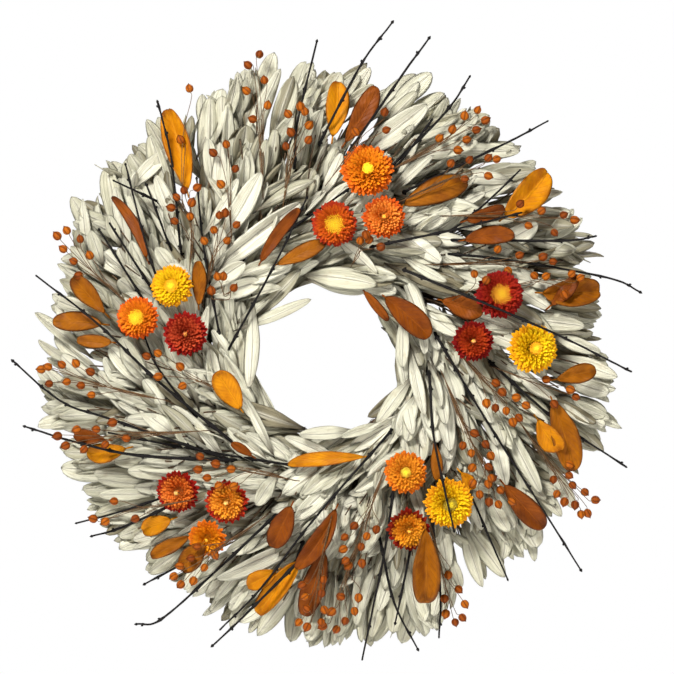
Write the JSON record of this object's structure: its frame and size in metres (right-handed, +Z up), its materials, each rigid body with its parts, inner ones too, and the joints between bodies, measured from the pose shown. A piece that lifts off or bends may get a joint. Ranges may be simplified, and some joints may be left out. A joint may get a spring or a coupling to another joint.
{
  "type": "harvest door wreath",
  "caption": "Round dried harvest wreath of grey leaves, strawflowers, amber leaves, flax pods and bare twigs on a vine ring, with a wire loop to hang it.",
  "frame": {"origin": "hook seat: the underside of the top of the wire hanging loop, where a nail or hook bears", "axes": "+Z up as it hangs, +Y towards the door behind it, -Y is the front, +X to the viewer's right"},
  "size_m": [0.601, 0.1123, 0.6096],
  "materials": {
    "vine_bark": "rough bark, matt",
    "binding_wire": "thin, dull brown-green enamel",
    "loop_wire": "dull galvanised wire",
    "grey_leaf": "dry leaf, matt with a faint sheen",
    "golden_leaf": "preserved leaf, soft satin",
    "amber_leaf": "preserved leaf, soft satin",
    "rust_leaf": "preserved leaf, soft satin",
    "black_twig": "dry twig, matt",
    "flax_pod": "dry seed pod, satin",
    "glue": "hot-melt glue, translucent cream",
    "petal_yellow": "papery bracts, satin",
    "petal_amber": "papery bracts, satin",
    "petal_orange": "papery bracts, satin",
    "petal_red": "papery bracts, satin",
    "petal_crimson": "papery bracts, satin"
  },
  "bodies": {
    "wreath": {"amber_leaves_left": "amber_leaf", "amber_leaves_right": "amber_leaf", "base_cane_1": "vine_bark", "base_cane_2": "vine_bark", "base_cane_3": "vine_bark", "base_cane_4": "vine_bark", "base_cane_5": "vine_bark", "binding_wire": "binding_wire", "black_twigs_bottom": "black_twig", "black_twigs_lower_left": "black_twig", "black_twigs_lower_right": "black_twig", "black_twigs_top": "black_twig", "black_twigs_upper_left": "black_twig", "black_twigs_upper_right": "black_twig", "flax_sprigs_bottom": "flax_pod", "flax_sprigs_lower_left": "flax_pod", "flax_sprigs_lower_right": "flax_pod", "flax_sprigs_top": "flax_pod", "flax_sprigs_upper_left": "flax_pod", "flax_sprigs_upper_right": "flax_pod", "glue_dabs": "glue", "golden_leaves_left": "golden_leaf", "golden_leaves_right": "golden_leaf", "grey_leaf_bunch_01": "grey_leaf", "grey_leaf_bunch_02": "grey_leaf", "grey_leaf_bunch_03": "grey_leaf", "grey_leaf_bunch_04": "grey_leaf", "grey_leaf_bunch_05": "grey_leaf", "grey_leaf_bunch_06": "grey_leaf", "grey_leaf_bunch_07": "grey_leaf", "grey_leaf_bunch_08": "grey_leaf", "grey_leaf_bunch_09": "grey_leaf", "grey_leaf_bunch_10": "grey_leaf", "grey_leaf_bunch_11": "grey_leaf", "grey_leaf_bunch_12": "grey_leaf", "grey_leaf_bunch_13": "grey_leaf", "grey_leaf_bunch_14": "grey_leaf", "grey_leaf_bunch_15": "grey_leaf", "grey_leaf_bunch_16": "grey_leaf", "rust_leaves_left": "rust_leaf", "rust_leaves_right": "rust_leaf", "strawflower_bottom_amber": "petal_amber", "strawflower_bottom_orange": "petal_orange", "strawflower_bottom_yellow": "petal_yellow", "strawflower_left_orange": "petal_orange", "strawflower_left_red": "petal_red", "strawflower_left_yellow": "petal_yellow", "strawflower_low_left_gold": "petal_amber", "strawflower_low_left_red": "petal_red", "strawflower_low_left_rust": "petal_orange", "strawflower_right_crimson": "petal_crimson", "strawflower_right_red": "petal_red", "strawflower_right_yellow": "petal_yellow", "strawflower_top_amber": "petal_amber", "strawflower_top_orange": "petal_orange", "strawflower_top_red": "petal_red"},
    "hanging_loop": {"hanging_loop": "loop_wire"}
  },
  "joints": [
    {"name": "loop_fold", "type": "hinge", "parent": "wreath", "child": "hanging_loop", "pos_m": [0, -0.0058, -0.0272], "axis": [-1, 0, 0], "range_deg": [-10, 110]}
  ]
}
